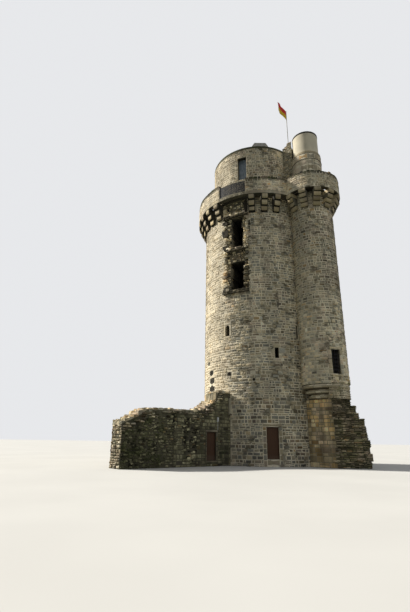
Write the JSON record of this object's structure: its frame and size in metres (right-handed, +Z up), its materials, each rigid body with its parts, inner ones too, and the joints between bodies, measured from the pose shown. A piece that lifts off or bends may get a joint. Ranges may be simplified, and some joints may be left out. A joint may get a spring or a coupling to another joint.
{
  "type": "castle keep",
  "caption": "Round castle keep with a corbelled stair turret, machicolated parapets, a ruined curtain wall and hinged doors.",
  "frame": {"origin": "on the keep's axis at ground level, on the underside of the ground floor", "axes": "+Z up along the keep's axis; the keep's door faces -Y; +X towards the stair turret"},
  "size_m": [17.7178, 14.9082, 33.1333],
  "materials": {
    "ashlar": "coursed limestone, weathered",
    "pale_ashlar": "smooth dressed limestone",
    "rubble": "rough rubble masonry with lime mortar",
    "floor_stone": "worn flagstones",
    "coping": "dark weathered coping",
    "roof_metal": "dull sheet metal",
    "door_paint": "brown paint, semi matt",
    "iron": "dark grey painted bars",
    "glazed_door": "blue grey paint and glazing",
    "pole": "light grey paint",
    "flag_cloth": "woven polyester flag cloth"
  },
  "bodies": {
    "root": {"ground_floor": "floor_stone", "ground_wall_left": "ashlar", "ground_wall_right": "ashlar", "ground_wall_back": "ashlar", "ground_wall_over_door": "ashlar", "keep_door_surround": "pale_ashlar", "keep_door_frame": "door_paint", "first_floor": "floor_stone", "first_wall_front": "ashlar", "first_wall_back": "ashlar", "second_floor": "floor_stone", "second_wall_front": "ashlar", "second_wall_back": "ashlar", "third_floor": "floor_stone", "third_wall_front": "ashlar", "third_wall_back": "ashlar", "wall_walk": "floor_stone", "keep_corbels": "ashlar", "keep_lintels": "pale_ashlar", "keep_parapet": "ashlar", "parapet_railing": "iron", "upper_drum_front": "ashlar", "upper_drum_back": "ashlar", "drum_floor": "floor_stone", "drum_door": "glazed_door", "drum_roof": "roof_metal", "drum_coping": "coping", "roof_hatch": "roof_metal", "link_wall": "rubble", "turret_base": "ashlar", "turret_wall_lower": "ashlar", "turret_wall_upper": "ashlar", "turret_grille": "iron", "turret_corbels": "ashlar", "turret_parapet": "ashlar", "turret_walk": "floor_stone", "turret_drum": "ashlar", "turret_cap": "pale_ashlar", "curtain_stub": "rubble", "curtain_wall_near": "rubble", "curtain_wall_over_door": "rubble", "curtain_wall_far": "rubble", "curtain_door_frame": "door_paint", "flagpole": "pole", "flag": "flag_cloth"},
    "keep_door": {"keep_door_leaf": "door_paint"},
    "curtain_door": {"curtain_door_leaf": "door_paint"}
  },
  "joints": [
    {"name": "keep_door_hinge", "type": "hinge", "parent": "root", "child": "keep_door", "pos_m": [-0.421, -4.67952, 0.5], "axis": [0, 0, 1], "range_deg": [0, 90]},
    {"name": "curtain_door_hinge", "type": "hinge", "parent": "root", "child": "curtain_door", "pos_m": [-4.84223, -5.01766, 0.36], "axis": [0, 0, 1], "range_deg": [0, 90]}
  ]
}
